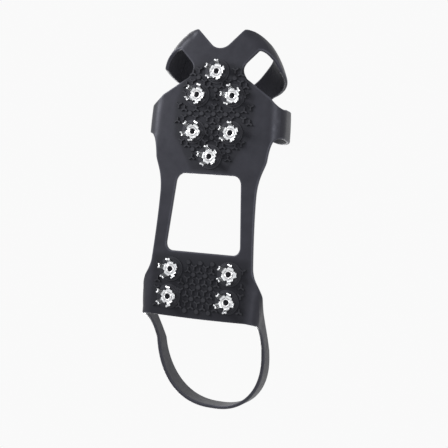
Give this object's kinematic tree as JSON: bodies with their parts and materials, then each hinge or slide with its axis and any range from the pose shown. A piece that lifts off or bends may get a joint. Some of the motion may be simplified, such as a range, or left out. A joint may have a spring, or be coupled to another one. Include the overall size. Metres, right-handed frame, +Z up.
{
  "type": "shoe ice cleat",
  "caption": "Rubber slip-on ice cleat for one boot: two studded sole plates joined by arch rails, a crossed toe strap and a heel strap, with riveted star studs.",
  "frame": {"origin": "middle of the whole harness in plan, on the surface that the stud tips stand on", "axes": "+X to the toe, +Y to the left, +Z up, from the ice side to the foot side"},
  "size_m": [0.3206, 0.118, 0.0941],
  "materials": {
    "sole_rubber": "matte moulded thermoplastic rubber with a raised grip pattern",
    "strap_rubber": "smooth satin thermoplastic rubber",
    "star_steel": "stamped, zinc-plated, bright",
    "rivet_steel": "clenched, zinc-plated, bright",
    "washer_steel": "flat, zinc-plated"
  },
  "bodies": {
    "forefoot": {"forefoot_sole": "sole_rubber", "left_rail_front": "strap_rubber", "right_rail_front": "strap_rubber", "toe_arm_front_left": "strap_rubber", "toe_arm_front_right": "strap_rubber", "toe_arm_rear_left": "strap_rubber", "toe_arm_rear_right": "strap_rubber", "star_1": "star_steel", "star_2": "star_steel", "star_3": "star_steel", "star_4": "star_steel", "star_5": "star_steel", "star_6": "star_steel", "rivet_1": "rivet_steel", "rivet_2": "rivet_steel", "rivet_3": "rivet_steel", "rivet_4": "rivet_steel", "rivet_5": "rivet_steel", "rivet_6": "rivet_steel", "washer_1": "washer_steel", "washer_2": "washer_steel", "washer_3": "washer_steel", "washer_4": "washer_steel", "washer_5": "washer_steel", "washer_6": "washer_steel"},
    "toe_cross": {"toe_cross": "strap_rubber"},
    "heel": {"heel_sole": "sole_rubber", "left_rail_rear": "strap_rubber", "right_rail_rear": "strap_rubber", "heel_root_left": "strap_rubber", "heel_root_right": "strap_rubber", "star_7": "star_steel", "star_8": "star_steel", "star_9": "star_steel", "star_10": "star_steel", "rivet_7": "rivet_steel", "rivet_8": "rivet_steel", "rivet_9": "rivet_steel", "rivet_10": "rivet_steel", "washer_7": "washer_steel", "washer_8": "washer_steel", "washer_9": "washer_steel", "washer_10": "washer_steel"},
    "heel_strap": {"heel_strap": "strap_rubber"}
  },
  "joints": [
    {"name": "toe_strap_press", "type": "slide", "parent": "forefoot", "child": "toe_cross", "axis": [0, 0, -1], "range_m": [0, 0.045], "stiffness_N_per_m": 200, "deforming": ["toe_arm_front_left", "toe_arm_front_right", "toe_arm_rear_left", "toe_arm_rear_right"]},
    {"name": "arch_fold", "type": "hinge", "parent": "forefoot", "child": "heel", "pos_m": [0.0077, 0, 0.0135], "axis": [0, -1, 0], "range_deg": [-45, 20], "stiffness_Nm_per_rad": 0.6},
    {"name": "heel_strap_fold", "type": "hinge", "parent": "heel", "child": "heel_strap", "pos_m": [-0.0686, 0, 0.0306], "axis": [0, 1, 0], "range_deg": [-25, 125], "stiffness_Nm_per_rad": 0.4}
  ]
}
